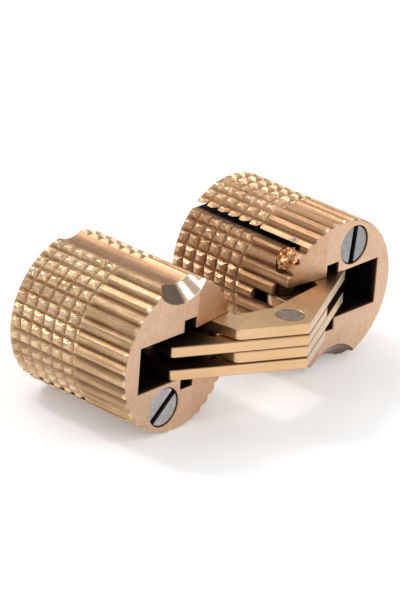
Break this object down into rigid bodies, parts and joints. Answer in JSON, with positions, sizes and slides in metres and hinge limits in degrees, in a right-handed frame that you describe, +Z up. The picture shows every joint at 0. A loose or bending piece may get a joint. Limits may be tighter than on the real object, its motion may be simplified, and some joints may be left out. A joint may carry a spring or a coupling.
{
  "type": "concealed hinge",
  "caption": "Concealed barrel hinge: knurled brass barrels for drilled holes, joined by crossing links that fold away inside them.",
  "frame": {"origin": "middle of the hinge, hinge open flat, on the surface that the barrels lie on", "axes": "+X from the left barrel to the right barrel, +Y along the barrels into the wood, +Z up along the hinge's pins"},
  "size_m": [0.0346, 0.0194, 0.014],
  "materials": {
    "barrel_brass": "turned and milled, knurled outside, satin faces",
    "link_brass": "punched sheet, fine satin",
    "pivot_pin_brass": "rough peened ends",
    "screw_steel": "blue-grey satin, turned",
    "centre_pin_steel": "ground flush with the plates, mottled",
    "track_pin_steel": "ground"
  },
  "bodies": {
    "left_barrel": {"left_barrel": "barrel_brass", "left_pivot_pin": "pivot_pin_brass"},
    "left_link": {"left_link_upper": "link_brass", "left_link_lower": "link_brass", "centre_pin": "centre_pin_steel", "right_track_pin": "track_pin_steel"},
    "right_link": {"right_link_upper": "link_brass", "right_link_lower": "link_brass", "left_track_pin": "track_pin_steel"},
    "right_barrel": {"right_barrel": "barrel_brass", "right_pivot_pin": "pivot_pin_brass"},
    "left_clamp_screw": {"left_clamp_screw": "screw_steel"},
    "right_clamp_screw": {"right_clamp_screw": "screw_steel"}
  },
  "joints": [
    {"name": "left_pivot", "type": "hinge", "parent": "left_barrel", "child": "left_link", "pos_m": [-0.005, -0.00215, 0.007], "axis": [0, 0, -1], "range_deg": [0, 118.8]},
    {"name": "centre_pivot", "type": "hinge", "parent": "left_link", "child": "right_link", "pos_m": [0, -0.0073, 0.007], "axis": [0, 0, -1], "range_deg": [-57.7, 0]},
    {"name": "right_pivot", "type": "hinge", "parent": "right_link", "child": "right_barrel", "pos_m": [0.005, -0.00215, 0.007], "axis": [0, 0, -1], "range_deg": [0, 118.9]},
    {"name": "left_screw_turn", "type": "hinge", "parent": "left_barrel", "child": "left_clamp_screw", "pos_m": [-0.01197, -0.00405, 0.00265], "axis": [0, 1, 0], "range_deg": [0, 540]},
    {"name": "right_screw_turn", "type": "hinge", "parent": "right_barrel", "child": "right_clamp_screw", "pos_m": [0.01197, -0.00405, 0.01135], "axis": [0, 1, 0], "range_deg": [0, 540]}
  ],
  "couplings": [
    {"joint": "centre_pivot", "follows": "left_pivot", "ratio": -0.4849},
    {"joint": "right_pivot", "follows": "left_pivot", "ratio": 1}
  ]
}
